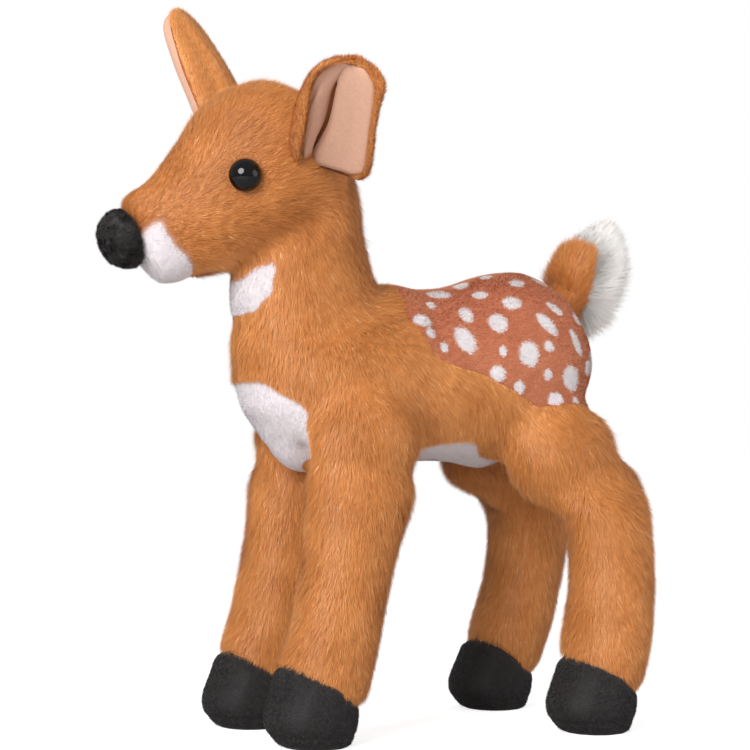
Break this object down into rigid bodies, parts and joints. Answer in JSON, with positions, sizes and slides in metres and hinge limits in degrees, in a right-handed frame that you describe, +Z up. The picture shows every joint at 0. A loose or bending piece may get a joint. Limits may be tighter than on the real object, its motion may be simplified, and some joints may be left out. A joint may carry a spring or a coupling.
{
  "type": "plush fawn",
  "caption": "Standing plush fawn with fur body, spotted saddle, white throat and belly, black boots, cupped ears, raised tail and sewn limbs that flex and spring back.",
  "frame": {"origin": "on the surface that the toy stands on, under the middle of its whole box", "axes": "+Z up, -Y the way the fawn faces, +X its left side"},
  "size_m": [0.1364, 0.236, 0.2963],
  "materials": {
    "fur": "long-pile plush",
    "saddle_plush": "short-pile plush with pale spots",
    "white_plush": "white plush",
    "hoof_plush": "short black plush",
    "nose_plush": "dense black plush",
    "ear_velour": "smooth velour",
    "eye_plastic": "polished, near black with a brown depth",
    "washer_plastic": "moulded",
    "fibre_fill": "polyester fibre fill"
  },
  "bodies": {
    "torso": {"side_panel_left": "fur", "side_panel_right": "fur", "back_saddle": "saddle_plush", "belly_panel": "white_plush", "throat_patch": "white_plush", "body_stuffing": "fibre_fill"},
    "head": {"cheek_left": "fur", "cheek_right": "fur", "forehead_gusset": "fur", "muzzle_panel": "white_plush", "nose": "nose_plush", "head_stuffing": "fibre_fill", "eye_left": "eye_plastic", "eye_right": "eye_plastic", "eye_washer_left": "washer_plastic", "eye_washer_right": "washer_plastic"},
    "left_ear": {"ear_back_left": "fur", "ear_lining_left": "ear_velour"},
    "right_ear": {"ear_back_right": "fur", "ear_lining_right": "ear_velour"},
    "tail": {"tail_top": "fur", "tail_under": "white_plush"},
    "front_left_leg": {"leg_front_left": "fur", "leg_stuffing_front_left": "fibre_fill", "hoof_front_left": "hoof_plush", "sole_front_left": "hoof_plush"},
    "front_right_leg": {"leg_front_right": "fur", "leg_stuffing_front_right": "fibre_fill", "hoof_front_right": "hoof_plush", "sole_front_right": "hoof_plush"},
    "hind_left_leg": {"leg_hind_left": "fur", "leg_stuffing_hind_left": "fibre_fill", "hoof_hind_left": "hoof_plush", "sole_hind_left": "hoof_plush"},
    "hind_right_leg": {"leg_hind_right": "fur", "leg_stuffing_hind_right": "fibre_fill", "hoof_hind_right": "hoof_plush", "sole_hind_right": "hoof_plush"}
  },
  "joints": [
    {"name": "front_left_leg_swing", "type": "hinge", "parent": "torso", "child": "front_left_leg", "pos_m": [0.01962, -0.01623, 0.122], "axis": [1, 0, 0], "range_deg": [-12, 12], "stiffness_Nm_per_rad": 0.5},
    {"name": "front_right_leg_swing", "type": "hinge", "parent": "torso", "child": "front_right_leg", "pos_m": [-0.03438, -0.01623, 0.122], "axis": [1, 0, 0], "range_deg": [-12, 12], "stiffness_Nm_per_rad": 0.5},
    {"name": "hind_left_leg_swing", "type": "hinge", "parent": "torso", "child": "hind_left_leg", "pos_m": [0.01762, 0.07177, 0.113], "axis": [1, 0, 0], "range_deg": [-12, 12], "stiffness_Nm_per_rad": 0.5},
    {"name": "hind_right_leg_swing", "type": "hinge", "parent": "torso", "child": "hind_right_leg", "pos_m": [-0.03238, 0.07177, 0.113], "axis": [1, 0, 0], "range_deg": [-12, 12], "stiffness_Nm_per_rad": 0.5},
    {"name": "head_turn", "type": "hinge", "parent": "torso", "child": "head", "pos_m": [-0.00738, -0.03473, 0.203], "axis": [0, -0.4664, 0.8846], "range_deg": [-25, 25], "stiffness_Nm_per_rad": 0.2},
    {"name": "left_ear_fold", "type": "hinge", "parent": "head", "child": "left_ear", "pos_m": [0.02065, -0.03222, 0.22532], "axis": [0.4172, 0.8799, -0.2275], "range_deg": [-15, 15], "stiffness_Nm_per_rad": 0.04},
    {"name": "right_ear_fold", "type": "hinge", "parent": "head", "child": "right_ear", "pos_m": [-0.03691, -0.05015, 0.24075], "axis": [-0.5539, 0.8307, 0.0559], "range_deg": [-15, 15], "stiffness_Nm_per_rad": 0.04},
    {"name": "tail_lift", "type": "hinge", "parent": "torso", "child": "tail", "pos_m": [-0.00738, 0.08577, 0.171], "axis": [1, 0, 0], "range_deg": [-15, 15], "stiffness_Nm_per_rad": 0.06}
  ]
}
